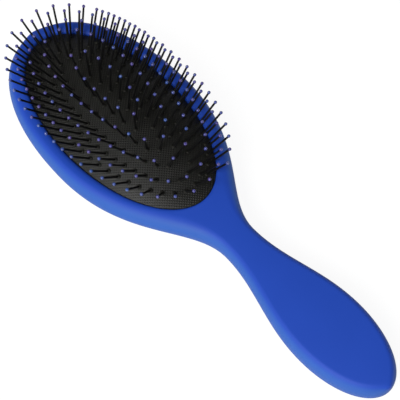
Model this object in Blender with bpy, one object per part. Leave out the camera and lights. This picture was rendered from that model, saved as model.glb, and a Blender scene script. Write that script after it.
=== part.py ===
"""Cushioned hair brush: a one-piece paddle body, a domed rubber cushion and its ball-tipped pins.

Metres, +Z up. The brush lies on its back with the pins up. The grip runs towards -X and the tip of
the head towards +X. The origin is the middle of the outline, on the surface that the brush lies on.

The body is a loft of cross sections along X. The cushion is one membrane on the real brush. Here it
is cut into bands that follow the ovals of pins, so that each band can sink by its own share when
the air cushion gives, and each band is cut into sectors that carry their pins.
"""

import math

import bmesh
import bpy
import numpy as np
from mathutils import Matrix, Vector

COLLECTION = "hair_brush"
CUTTERS = "hair_brush_cutters"

# Outline of the body, seen from above
BRUSH_LENGTH = 0.2230
HEAD_WIDTH = 0.0710
HEAD_WIDEST_AT = 0.1593  # from the end of the grip
NECK_WIDTH = 0.0161
NECK_AT = 0.0838
GRIP_WIDTH = 0.0325
GRIP_WIDEST_AT = 0.0325
HEAD_FLOW_SHARES = (0.575, 0.26)  # how far the head's and the neck's curves run before they bend
GRIP_FLOW_SHARES = (0.36, 0.39)
TIP_OUTLINE_POWER = 2.2  # 2 is an ellipse, more is squarer

# Heights of the body above the surface that it lies on
WAIST_HEIGHT = 0.0131  # the widest line, all the way round
HEAD_TOP = 0.0188  # of the front face, without its crown
NECK_TOP = 0.0171
GRIP_TOP = 0.0181
FRONT_CROWN = 0.0005
NECK_UNDERSIDE = 0.0042
REST_FLAT_DEPTH = 0.0004  # how much of the round back is cut flat where it rests

# Rounded shoulder between the front face and the waist: its width, square to the outline
GRIP_SHOULDER = 0.0034
FLARE_SHOULDER = 0.0058
HEAD_SHOULDER = 0.0040
FLARE_AT = 0.107  # from the end of the grip to where the shoulder is widest
SHOULDER_BLEND = 4  # how sharply the shoulder gives way where the body is narrower than it

# Roundness of the back's cross sections and of both ends: 2 is an ellipse, more is squarer
BACK_POWER = 2.2
TIP_TOP_POWER = 9.0
TIP_BACK_POWER = 2.4
GRIP_END_TOP_POWER = 8.0
GRIP_END_BACK_POWER = 2.2
BODY_STATIONS = 60
SHOULDER_STEPS = 6
FRONT_STEPS = 2
BACK_STEPS = 18

# Cushion
PAD_LENGTH = 0.110
PAD_WIDTH = 0.056
PAD_FROM_TIP = 0.0066  # from the tip of the head to the edge of the cushion
PAD_EDGE_HEIGHT = 0.0172
PAD_CROWN = 0.0078  # rise of the dome above its edge
MEMBRANE = 0.0022
GAP = 0.0003  # between pieces that touch on the real brush

# Opening of the head, its rolled lip, the groove for the bead and the air chamber under the cushion
LIP_ROLL = 0.0034  # how far the lip rolls outwards
LIP_RISE = 0.0016  # how far the crest of the lip stands over the edge of the cushion
LIP_THICKNESS = 0.0018
GROOVE_DEPTH = 0.0018
GROOVE_HEIGHT = 0.0024
LEDGE = 0.0012  # shelf under the bead, inside the opening
BACK_WALL = 0.0042
CHAMBER_CORNER = 0.0055  # radius-like run from the chamber's wall to its floor
OVERRUN = 0.004
OVAL_POINTS = 56

# Ovals of pins, from the outermost. Lengths, widths and shifts are shares of the cushion's half length
# and half width. The shift moves an oval's middle towards the tip, the egg widens its end there, and
# the phase is the place of the first pin, in pin spaces from the tip end
RING_NAMES = ("outer", "second", "third", "fourth", "centre")
RING_LENGTH_SHARES = (0.915, 0.832, 0.707, 0.586, 0.350)
RING_WIDTH_SHARES = (0.832, 0.655, 0.490, 0.300, 0.122)
RING_SHIFT_SHARES = (0.040, 0.050, 0.062, 0.090, 0.088)
RING_EGG_SHARES = (0.048, 0.086, 0.137, 0.152, 0.0)
RING_PHASE_SHARES = (0.46, 0.15, 0.76, 0.61, 0.32)
RING_PINS = (48, 43, 34, 25, 13)
RING_SECTORS = (8, 8, 6, 4, 1)

# Pins
PIN_LENGTH = 0.0152  # from the cushion to the top of the ball
PIN_DIAMETER = 0.0009
BALL_DIAMETER = 0.0016
BALL_HEIGHT = 0.0016
PIN_ROOT = 0.0011  # how deep the pin stands in the membrane
PIN_SIDES = 4
WELD = 0.000001
LEAN_LENGTHWAYS_SHARES = (0.42, 0.40)  # slope at the ends of the cushion: first and third power
LEAN_SIDEWAYS_SHARES = (1.49, -0.91)
LEAN_CORNER_SHARE = -0.20

# Colours, linear
BODY_BLUE = (0.021, 0.080, 0.480, 1.0)
RUBBER_BLACK = (0.012, 0.012, 0.011, 1.0)
PIN_BLACK = (0.010, 0.010, 0.011, 1.0)

GRIP_END_X = -BRUSH_LENGTH / 2
TIP_X = BRUSH_LENGTH / 2
HEAD_X = GRIP_END_X + HEAD_WIDEST_AT
NECK_X = GRIP_END_X + NECK_AT
GRIP_X = GRIP_END_X + GRIP_WIDEST_AT
FLARE_X = GRIP_END_X + FLARE_AT
PAD_X = TIP_X - PAD_FROM_TIP - PAD_LENGTH / 2


def clear_scene():
    for obj in list(bpy.data.objects):
        bpy.data.objects.remove(obj, do_unlink=True)


def new_collection(name):
    collection = bpy.data.collections.new(name)
    bpy.context.scene.collection.children.link(collection)
    return collection


def material(name, colour, roughness):
    made = bpy.data.materials.new(name)
    made.use_nodes = True
    shader = made.node_tree.nodes["Principled BSDF"]
    shader.inputs["Base Color"].default_value = colour
    shader.inputs["Roughness"].default_value = roughness
    shader.inputs["Metallic"].default_value = 0.0
    return made


def bezier(start, start_share, end, end_share, steps):
    """Points of a cubic that leaves start and meets end level, as (x, y) rows."""
    start, end = np.array(start), np.array(end)
    run = np.array([end[0] - start[0], 0])
    first = start + run * start_share
    last = end - run * end_share
    t = np.linspace(0, 1, steps)[:, None]
    return (1 - t) ** 3 * start + 3 * t * (1 - t) ** 2 * first + 3 * t**2 * (1 - t) * last + t**3 * end


def outline():
    """Half width of the body against x, from the end of the grip to the tip of the head."""
    steps = 60
    quarter = np.linspace(0, math.pi / 2, steps)
    grip_end = np.stack(
        [GRIP_X - (GRIP_X - GRIP_END_X) * np.cos(quarter), GRIP_WIDTH / 2 * np.sin(quarter)], 1
    )
    share = 2 / TIP_OUTLINE_POWER
    tip_x = HEAD_X + (TIP_X - HEAD_X) * np.sin(quarter) ** share
    tip = np.stack([tip_x, HEAD_WIDTH / 2 * np.abs(np.cos(quarter)) ** share], 1)
    neck = (NECK_X, NECK_WIDTH / 2)
    head_side = bezier(neck, HEAD_FLOW_SHARES[1], (HEAD_X, HEAD_WIDTH / 2), HEAD_FLOW_SHARES[0], steps)
    grip_side = bezier((GRIP_X, GRIP_WIDTH / 2), GRIP_FLOW_SHARES[1], neck, GRIP_FLOW_SHARES[0], steps)
    return np.concatenate([grip_end, grip_side[1:], head_side[1:], tip[1:]])


def ease(x, start, end):
    """0 before start, 1 after end, and a smooth step between."""
    t = np.clip((x - start) / (end - start), 0, 1)
    return t * t * (3 - 2 * t)


def between(x, at_grip, at_neck, at_head):
    """A value that changes smoothly from the grip through the neck to the head."""
    low = at_grip + (at_neck - at_grip) * ease(x, GRIP_X, NECK_X)
    return low + (at_head - at_neck) * ease(x, NECK_X, HEAD_X)


def end_round(x, grip_power, tip_power):
    """1 over the length of the body, falling to 0 at both ends along a rounded curve."""
    to_end = np.clip((GRIP_X - x) / (GRIP_X - GRIP_END_X), 0, 1)
    to_tip = np.clip((x - HEAD_X) / (TIP_X - HEAD_X), 0, 1)
    return (1 - to_end**grip_power) ** (1 / grip_power) * (1 - to_tip**tip_power) ** (1 / tip_power)


def build_mesh(name, rings, caps, material_used, collection, closed=True):
    """A surface through rings of points. A ring of one point is a pole, and caps fills the end rings."""
    shell = bmesh.new()
    rows = [[shell.verts.new(point) for point in ring] for ring in rings]
    for lower, upper in zip(rows, rows[1:]):
        count = max(len(lower), len(upper))
        for i in range(count if closed else count - 1):
            corners = [
                lower[i % len(lower)],
                lower[(i + 1) % len(lower)],
                upper[(i + 1) % len(upper)],
                upper[i % len(upper)],
            ]
            shell.faces.new(list(dict.fromkeys(corners)))
    if caps:
        shell.faces.new(rows[0])
        shell.faces.new(rows[-1])
    bmesh.ops.recalc_face_normals(shell, faces=shell.faces)
    data = bpy.data.meshes.new(name)
    shell.to_mesh(data)
    shell.free()
    obj = bpy.data.objects.new(name, data)
    if material_used:
        data.materials.append(material_used)
    collection.objects.link(obj)
    return obj


def smooth(obj, degrees):
    obj.data.shade_smooth()
    obj.data.set_sharp_from_angle(angle=math.radians(degrees))


def shoulder_width(x, half_width, slope):
    """Width of the shoulder across the brush, where the outline has the given slope. It never takes more
    than the half width."""
    width = GRIP_SHOULDER + (FLARE_SHOULDER - GRIP_SHOULDER) * ease(x, NECK_X, FLARE_X)
    width = (width + (HEAD_SHOULDER - FLARE_SHOULDER) * ease(x, FLARE_X, HEAD_X)) * math.hypot(1, slope)
    return (half_width**-SHOULDER_BLEND + width**-SHOULDER_BLEND) ** (-1 / SHOULDER_BLEND)


def front_half(x, half_width, slope):
    """Half of the front at x, from the waist over the shoulder to the middle, as (y, z) rows."""
    width = shoulder_width(x, half_width, slope)
    turn = np.linspace(0, math.pi / 2, SHOULDER_STEPS + 1)
    face = (half_width - width) * (1 - np.linspace(0, 1, FRONT_STEPS + 1)[1:])
    y = np.concatenate([half_width - width + width * np.cos(turn), face])
    round_share = np.concatenate([np.sin(turn), np.ones_like(face)])
    top = between(x, GRIP_TOP, NECK_TOP, HEAD_TOP) - WAIST_HEIGHT
    rise = top * round_share + FRONT_CROWN * (1 - (y / half_width) ** 2)
    return np.stack([y, WAIST_HEIGHT + rise * end_round(x, GRIP_END_TOP_POWER, TIP_TOP_POWER)], 1)


def body_ring(x, half_width, slope):
    """Cross section at x: the front over the waist and half a superellipse under it, cut flat at rest."""
    front = front_half(x, half_width, slope)
    deepest = WAIST_HEIGHT + REST_FLAT_DEPTH
    back = between(x, deepest, WAIST_HEIGHT - NECK_UNDERSIDE, deepest)
    back = back * end_round(x, GRIP_END_BACK_POWER, TIP_BACK_POWER)
    turn = np.linspace(0, math.pi, BACK_STEPS + 1)[1:-1]
    y = -half_width * np.sign(np.cos(turn)) * np.abs(np.cos(turn)) ** (2 / BACK_POWER)
    z = np.maximum(WAIST_HEIGHT - back * np.sin(turn) ** (2 / BACK_POWER), 0)
    ring = np.concatenate([front, front[-2::-1] * (-1, 1), np.stack([y, z], 1)])
    return np.insert(ring, 0, x, axis=1)


def oval(half_length, half_width, centre, egg, theta, offset=0.0):
    """Points of an oval near the cushion's middle, wider towards the tip by the share egg."""
    x = half_length * np.cos(theta)
    y = half_width * np.sin(theta) * (1 + egg * np.cos(theta))
    if offset:
        normal = np.stack([np.cos(theta) / half_length, np.sin(theta) / half_width], -1)
        normal = normal / np.linalg.norm(normal, axis=-1, keepdims=True)
        x, y = x + offset * normal[..., 0], y + offset * normal[..., 1]
    return np.stack([PAD_X + centre + x, y], -1)


def pad_edge(theta, offset=0.0):
    return oval(PAD_LENGTH / 2, PAD_WIDTH / 2, 0, 0, theta, offset)


def dome(points):
    """Height of the cushion's top over its edge plane, at (x, y) points."""
    along = (points[..., 0] - PAD_X) / (PAD_LENGTH / 2)
    across = points[..., 1] / (PAD_WIDTH / 2)
    return PAD_EDGE_HEIGHT + PAD_CROWN * np.maximum(1 - along**2 - across**2, 0)


def ring_shape(index):
    """(half length, half width, shift, egg) of an oval of pins."""
    return (
        RING_LENGTH_SHARES[index] * PAD_LENGTH / 2,
        RING_WIDTH_SHARES[index] * PAD_WIDTH / 2,
        RING_SHIFT_SHARES[index] * PAD_LENGTH / 2,
        RING_EGG_SHARES[index],
    )


def boundary_shape(index):
    """The oval half way between oval index - 1 and oval index, where two bands of the cushion meet."""
    outside = ring_shape(index - 1) if index else (PAD_LENGTH / 2, PAD_WIDTH / 2, 0, 0)
    return tuple((a + b) / 2 for a, b in zip(outside, ring_shape(index)))


def boundary(index, theta, side):
    """Points on a boundary, moved outwards by half a gap where side is 1 and inwards where it is -1."""
    half_length, half_width, centre, egg = boundary_shape(index)
    grow = side * GAP / 2
    return oval(half_length + grow, half_width + grow, centre, egg, theta)


def with_height(points, height):
    """(x, y) points raised to one height or to one height each."""
    return np.concatenate([points, np.broadcast_to(height, points.shape[:-1])[..., None]], -1)


def head_opening(cutters):
    """The hollow of the head: floor, chamber wall, groove for the bead, and the lip rolled outwards."""
    theta = np.linspace(0, 2 * math.pi, OVAL_POINTS, endpoint=False)
    under_lip = PAD_EDGE_HEIGHT - LIP_THICKNESS
    groove_floor = under_lip - GROOVE_HEIGHT
    rings = []
    corner_steps = 4
    middle = np.array([PAD_X, 0])
    for step in range(corner_steps + 1):
        turn = math.pi / 2 * step / corner_steps
        inset = -LEDGE - 2 * CHAMBER_CORNER * (1 - math.sin(turn))
        height = BACK_WALL + (groove_floor - BACK_WALL) * (1 - math.cos(turn))
        rings.append(with_height(pad_edge(theta, inset), height))
    rings.append(with_height(pad_edge(theta, GROOVE_DEPTH), groove_floor))
    rings.append(with_height(pad_edge(theta, GROOVE_DEPTH), under_lip))
    rings.append(with_height(pad_edge(theta), under_lip))
    roll_steps = 5
    for step in range(roll_steps + 1):
        turn = math.pi / 2 * step / roll_steps
        out = LIP_ROLL * (1 - math.cos(turn))
        rise = LIP_RISE * math.sin(turn)
        rings.append(with_height(pad_edge(theta, out), PAD_EDGE_HEIGHT + rise))
    over = HEAD_TOP + OVERRUN
    crest = PAD_EDGE_HEIGHT + LIP_RISE
    rings.append(with_height(pad_edge(theta, LIP_ROLL + over - crest), over))
    cutter = build_mesh("head_opening", rings, True, None, cutters)
    cutter.hide_render = True
    cutter.display_type = "WIRE"
    return cutter


def make_body(parts, cutters, finish):
    """The paddle: one loft from the end of the grip to the tip of the head, with the opening cut out."""
    curve = outline()
    slopes = np.gradient(curve[:, 1], curve[:, 0])
    turn = np.linspace(0, math.pi, BODY_STATIONS)
    stations = -BRUSH_LENGTH / 2 * np.cos(turn)
    rings = [[(GRIP_END_X, 0, WAIST_HEIGHT)]]
    for x in stations[1:-1]:
        half_width, slope = (np.interp(x, curve[:, 0], values) for values in (curve[:, 1], slopes))
        rings.append(body_ring(x, half_width, slope))
    rings.append([(TIP_X, 0, WAIST_HEIGHT)])
    body = build_mesh("body", rings, False, finish, parts)
    cut = body.modifiers.new("head_opening", "BOOLEAN")
    cut.operation = "DIFFERENCE"
    cut.object = head_opening(cutters)
    smooth(body, 40)
    return body


def make_cushion_edge(parts, rubber):
    """The fixed margin of the membrane: a bead in the groove, the wall through the lip, and the first slope."""
    theta = np.linspace(0, 2 * math.pi, OVAL_POINTS, endpoint=False)
    under_lip = PAD_EDGE_HEIGHT - LIP_THICKNESS
    bead_top = under_lip - GAP
    bead_floor = under_lip - GROOVE_HEIGHT + GAP
    inner = boundary(0, theta, 1)
    visible = pad_edge(theta, -GAP)
    slope = (inner + visible) / 2
    bead = pad_edge(theta, GROOVE_DEPTH - GAP)
    rings = [
        with_height(bead, bead_floor),
        with_height(bead, bead_top),
        with_height(visible, bead_top),
        with_height(visible, PAD_EDGE_HEIGHT),
        with_height(slope, dome(slope)),
        with_height(inner, dome(inner)),
        with_height(inner, bead_floor),
    ]
    edge = build_mesh("cushion_edge", rings, False, rubber, parts)
    shell = bmesh.new()
    shell.from_mesh(edge.data)
    rims = [e for e in shell.edges if e.is_boundary]
    bmesh.ops.bridge_loops(shell, edges=rims)
    bmesh.ops.recalc_face_normals(shell, faces=shell.faces)
    shell.to_mesh(edge.data)
    shell.free()
    smooth(edge, 40)
    return edge


def pin_angles(index):
    """Angles round an oval at which its pins stand, an equal distance apart along it."""
    fine = np.linspace(0, 2 * math.pi, 4001)
    line = oval(*ring_shape(index), fine)
    run = np.concatenate([[0], np.cumsum(np.linalg.norm(np.diff(line, axis=0), axis=1))])
    count = RING_PINS[index]
    places = (np.arange(count) + RING_PHASE_SHARES[index]) / count * run[-1]
    return np.interp(places, run, fine)


def pin_direction(foot):
    """Unit direction of a pin that stands at foot: pins fan outwards, more so towards the edge."""
    along = (foot[0] - PAD_X) / (PAD_LENGTH / 2)
    across = foot[1] / (PAD_WIDTH / 2)
    first, third = LEAN_LENGTHWAYS_SHARES
    lengthways = along * (first + third * along**2 + LEAN_CORNER_SHARE * across**2)
    first, third = LEAN_SIDEWAYS_SHARES
    sideways = across * (first + third * across**2)
    direction = np.array([lengthways, sideways, 1])
    return direction / np.linalg.norm(direction)


def pin_template():
    """One upright pin, turned from its profile: a thin shaft with a ball on its end."""
    neck = PIN_LENGTH - BALL_HEIGHT
    profile = (
        (0, -PIN_ROOT),
        (PIN_DIAMETER / 2, -PIN_ROOT),
        (PIN_DIAMETER / 2, neck),
        (BALL_DIAMETER / 2, neck + BALL_HEIGHT / 2),
        (BALL_DIAMETER / 4, PIN_LENGTH),
        (0, PIN_LENGTH),
    )
    shell = bmesh.new()
    verts = [shell.verts.new((radius, 0, height)) for radius, height in profile]
    edges = [shell.edges.new(pair) for pair in zip(verts, verts[1:])]
    bmesh.ops.spin(
        shell, geom=verts + edges, cent=(0, 0, 0), axis=(0, 0, 1), angle=2 * math.pi, steps=PIN_SIDES
    )
    bmesh.ops.remove_doubles(shell, verts=shell.verts, dist=WELD)
    bmesh.ops.recalc_face_normals(shell, faces=shell.faces)
    data = bpy.data.meshes.new("pin")
    shell.to_mesh(data)
    shell.free()
    return data


def pins_mesh(name, feet, cutters):
    """The pins of one sector, for the union with their piece of the cushion."""
    template = pin_template()
    shell = bmesh.new()
    for foot in feet:
        count = len(shell.verts)
        shell.from_mesh(template)
        shell.verts.ensure_lookup_table()
        lean = Vector((0, 0, 1)).rotation_difference(Vector(pin_direction(foot)))
        place = Matrix.Translation((foot[0], foot[1], dome(foot))) @ lean.to_matrix().to_4x4()
        bmesh.ops.transform(shell, matrix=place, verts=shell.verts[count:])
    bpy.data.meshes.remove(template)
    data = bpy.data.meshes.new(name)
    shell.to_mesh(data)
    shell.free()
    pins = bpy.data.objects.new(name, data)
    cutters.objects.link(pins)
    pins.hide_render = True
    pins.display_type = "WIRE"
    return pins


def sector_rings(index, start, end, pins):
    """Rings of a sector from one cut to the other: outer wall, top, inner wall and underside."""
    theta = np.linspace(start, end, pins + 1)
    outer = boundary(index, theta, -1)
    inner = boundary(index + 1, theta, 1)
    middle = (outer + inner) / 2
    top = [with_height(line, dome(line)) for line in (outer, middle, inner)]
    under = [with_height(line, dome(line) - MEMBRANE) for line in (inner, middle, outer)]
    return np.stack(top + under, 1)


def cut_angle(index, before, after):
    """Half the gap beside a cut, as the angle that it takes on the oval there."""
    theta = (before + after) / 2
    ends = oval(*ring_shape(index), np.array([before, after]))
    return theta, GAP / 2 * (after - before) / np.linalg.norm(ends[1] - ends[0])


def make_sector(index, sector, angles, parts, cutters, finish):
    """One sector of a band with the pins that stand on it."""
    name = f"pins_{RING_NAMES[index]}_{sector + 1}"
    count, sectors = len(angles), RING_SECTORS[index]
    first = round(sector * count / sectors)
    last = round((sector + 1) * count / sectors)
    full = 2 * math.pi
    before = angles[first - 1] - (full if first == 0 else 0)
    after = angles[last % count] + (full if last == count else 0)
    start, start_gap = cut_angle(index, before, angles[first])
    end, end_gap = cut_angle(index, angles[last - 1], after)
    rings = sector_rings(index, start + start_gap, end - end_gap, last - first)
    piece = build_mesh(name, rings, True, finish, parts)
    feet = oval(*ring_shape(index), angles[first:last])
    join_pins(piece, feet, cutters)
    return piece


def make_centre(index, angles, parts, cutters, finish):
    """The middle of the cushion, inside the innermost boundary, with its pins."""
    theta = np.linspace(0, 2 * math.pi, OVAL_POINTS // 2, endpoint=False)
    rim = boundary(index, theta, -1)
    middle = rim.mean(axis=0)
    lines = [middle + (rim - middle) * share for share in (1, 2 / 3, 1 / 3)]
    top = [with_height(line, dome(line)) for line in lines]
    under = [with_height(line, dome(line) - MEMBRANE) for line in reversed(lines)]
    peak = with_height(middle[None], dome(middle[None]))
    pit = with_height(middle[None], dome(middle[None]) - MEMBRANE)
    rings = [pit] + under + top + [peak]
    piece = build_mesh(f"pins_{RING_NAMES[index]}", rings, False, finish, parts)
    join_pins(piece, oval(*ring_shape(index), angles), cutters)
    return piece


def join_pins(piece, feet, cutters):
    join = piece.modifiers.new("pins", "BOOLEAN")
    join.operation = "UNION"
    join.object = pins_mesh(piece.name + "_shafts", feet, cutters)
    smooth(piece, 40)


def make_bands(parts, cutters, finish):
    """Every band of the cushion, each under an empty at the middle of the cushion."""
    for index, name in enumerate(RING_NAMES):
        holder = bpy.data.objects.new(f"band_{name}", None)
        holder.location = (PAD_X, 0, PAD_EDGE_HEIGHT)
        parts.objects.link(holder)
        bpy.context.view_layer.update()
        angles = pin_angles(index)
        if RING_SECTORS[index] == 1:
            pieces = [make_centre(index, angles, parts, cutters, finish)]
        else:
            pieces = [
                make_sector(index, sector, angles, parts, cutters, finish)
                for sector in range(RING_SECTORS[index])
            ]
        for piece in pieces:
            piece.parent = holder
            piece.matrix_parent_inverse = holder.matrix_world.inverted()


def main():
    clear_scene()
    parts = new_collection(COLLECTION)
    cutters = new_collection(CUTTERS)
    blue = material("body_blue", BODY_BLUE, 0.45)
    rubber = material("cushion_rubber", RUBBER_BLACK, 0.6)
    pin_black = material("pin_nylon", PIN_BLACK, 0.4)
    make_body(parts, cutters, blue)
    make_cushion_edge(parts, rubber)
    make_bands(parts, cutters, pin_black)


main()
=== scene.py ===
"""Looks of a cushioned hair brush: the paddle body, the rubber cushion with its bead, and the pins
with their ball tips.

Metres, +Z up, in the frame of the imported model. The brush lies on its back. The grip runs towards -X
and the tip of the head towards +X. "Out" is the distance outwards from the edge of the cushion, seen
from above, and a "share" is a part of 1.
"""

import math

import bmesh
import bpy
import numpy as np
from bpy.props import FloatProperty, FloatVectorProperty, IntProperty, PointerProperty
from mathutils import Matrix, Vector


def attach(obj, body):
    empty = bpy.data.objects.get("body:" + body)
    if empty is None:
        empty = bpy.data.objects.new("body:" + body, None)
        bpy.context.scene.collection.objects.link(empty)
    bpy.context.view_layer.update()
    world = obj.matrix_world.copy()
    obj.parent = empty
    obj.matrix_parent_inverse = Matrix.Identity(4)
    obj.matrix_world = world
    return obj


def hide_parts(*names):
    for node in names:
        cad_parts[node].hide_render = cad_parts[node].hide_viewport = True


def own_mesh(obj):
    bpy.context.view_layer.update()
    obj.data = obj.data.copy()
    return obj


bl_info = {
    "name": "Cushioned hair brush",
    "version": (1, 0, 0),
    "blender": (4, 5, 0),
    "location": "View3D > Sidebar > Hair brush",
    "description": "Builds the visible surfaces, finishes and stage of a cushioned hair brush",
    "category": "Object",
}

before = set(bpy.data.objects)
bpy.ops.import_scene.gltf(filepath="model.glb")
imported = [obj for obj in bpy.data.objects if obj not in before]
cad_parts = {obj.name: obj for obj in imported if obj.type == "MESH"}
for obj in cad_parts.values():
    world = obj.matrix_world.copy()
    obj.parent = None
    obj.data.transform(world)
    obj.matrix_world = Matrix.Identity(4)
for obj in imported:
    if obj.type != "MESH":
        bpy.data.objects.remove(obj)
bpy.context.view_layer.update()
WELD = 1e-6  # points closer than this are one
POINT_VALUE = "share"  # name of the value that each point of a piece can carry to its material

# Outline of the body: how far the curves run level before they bend, at their wide and at their
# narrow end
HEAD_FLOW_SHARES = (0.575, 0.26)
GRIP_FLOW_SHARES = (0.39, 0.36)
TIP_OUTLINE_POWER = 2.2  # 2 is an ellipse, more is squarer
SHOULDER_BLEND = 4  # how sharply the shoulder gives way where the body is narrower than it

# Roundness of the back's cross sections and of both ends: 2 is an ellipse, more is squarer
BACK_POWER = 2.2
TIP_TOP_POWER = 9.0
TIP_BACK_POWER = 2.4
GRIP_END_TOP_POWER = 8.0
GRIP_END_BACK_POWER = 2.2

# Width of the lip round the opening, and the curve of the lip
NECK_LIP_FROM = 0.55  # cosine of the angle to the neck at which the lip begins to narrow
LIP_FLOW_SHARE = 0.6  # how far the lip's curve runs straight at both ends before it bends
LIP_SLOPE_PARTS = 50  # the front's slope is taken over one of so many parts of the lip's width

# Place across the shoulder where the painted light begins, and where it is full. The painted light is
# # a paler coat that stands in for light falling on the shoulder.
PAINTED_LIGHT_FROM, PAINTED_LIGHT_FULL = 0.3, 0.85

# Ovals of pins, from the outermost: name, length and width as shares of the cushion's, shift towards
# the tip, widening towards the tip, place of the first pin in pin spaces, and number of pins
RINGS = (
    ("outer", 0.915, 0.832, 0.040, 0.048, 0.46, 48),
    ("second", 0.832, 0.655, 0.050, 0.086, 0.15, 43),
    ("third", 0.707, 0.490, 0.062, 0.137, 0.76, 34),
    ("fourth", 0.586, 0.300, 0.090, 0.152, 0.61, 25),
    ("centre", 0.350, 0.122, 0.088, 0.0, 0.32, 13),
)
# One more row outside the outermost oval, along one side only: an oval in the same form, and the part
# of it that has pins. It moves with the outermost oval.
SIDE_ROW = ("side", 0.935, 0.900, 0.020, -0.070, 0.98, 50)
SIDE_ROW_PINS = slice(26, 45)

# How blue a ball is, from 0 to 1: a start, and what the ring, the place and a seeded spread add to it
BALL_SEED = 11
TINT_START = 0.18
TINT_PER_RING = 0.06
TINT_TO_TIP = 0.22  # less at the tip
TINT_ACROSS = 0.20  # less on the +Y side
TINT_OUTER_SIDE = 0.7  # more on the +Y side of the outermost ring
TINT_OUTER_FROM, TINT_OUTER_FULL = 0.1, 0.6  # where on the half width that begins and is full
TINT_SPREAD = 0.24

# Fan of the pins: slope against the place on the cushion, first and third power, and for the slope
# lengthways also the place along times the square of the place across
LEAN_LENGTHWAYS_SHARES = (0.42, 0.40)
LEAN_SIDEWAYS_SHARES = (1.49, -0.91)
LEAN_CORNER_SHARE = -0.20

BOSS_FLAT_SHARE = 0.55  # of a boss's radius, before its edge rounds off

# Finish of each material: lowest and highest roughness, specular level, and the size of the faint
# clouds in its gloss
FINISHES = {
    "soft_touch_blue": (0.58, 0.66, 0.3, 0.018),
    "dotted_rubber": (0.46, 0.54, 0.55, 0.012),
    "plain_rubber": (0.55, 0.65, 0.35, 0.002),
    "black_nylon": (0.40, 0.52, 0.25, 0.003),
    "ball_lacquer": (0.16, 0.28, 0.5, 0.001),
}
COAT_TINTS = (0.96, 1.04)  # how dark and how light the clouds make the coat
COAT_GRAIN, COAT_GRAIN_HEIGHT = 0.00035, 0.00002
COAT_GRAIN_STRENGTH = 0.5
NYLON_TINTS = (0.8, 1.3)
RUBBER_GRAIN_HEIGHT = 0.00002
DOT_TOP, DOT_FOOT = 0.16, 0.42  # from a dot's middle, in pitches
BALL_COAT = 0.3
FLOOR_COLOUR = (0.9, 0.9, 0.9, 1.0)
FLOOR_ROUGHNESS = 0.9
HORIZON_FROM, HORIZON_TO = 0.02, 0.25  # sines of the angles between which the surroundings darken

# Camera of the view, in the frame of the part
CAMERA_PLACE = (-0.17495, 0.13375, 0.40852)
CAMERA_RIGHT = (-0.65645455, -0.75381235, -0.03000906)
CAMERA_DOWN = (-0.65050863, 0.58574309, -0.48352282)
CAMERA_LENS, CAMERA_SENSOR = 98.449, 36.0  # millimetres
CAMERA_NEAR = 0.01
FLOOR_GAP = 0.0001  # keeps the floor off the face that the brush rests on
OPEN_FLOOR = 0.6  # how bright the shading of the floor is where no shadow falls

# Numbers of points on the surfaces
OUTLINE_STEPS = 400
BACK_STEPS = 24
TOP_STEPS = 44
GRIP_STEPS = 64
TIP_STEPS = 18
OPENING_STEPS = 150
LIP_STEPS = 16
CHAMBER_STEPS = 8
CUSHION_ROUND = 240
CUSHION_RINGS = 70
BEAD_STEPS = 10
OVAL_STEPS = 4001
BOSS_STEPS = 4
BOSS_SIDES = 8
BALL_STEPS = 7
BALL_SIDES = 8


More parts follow.
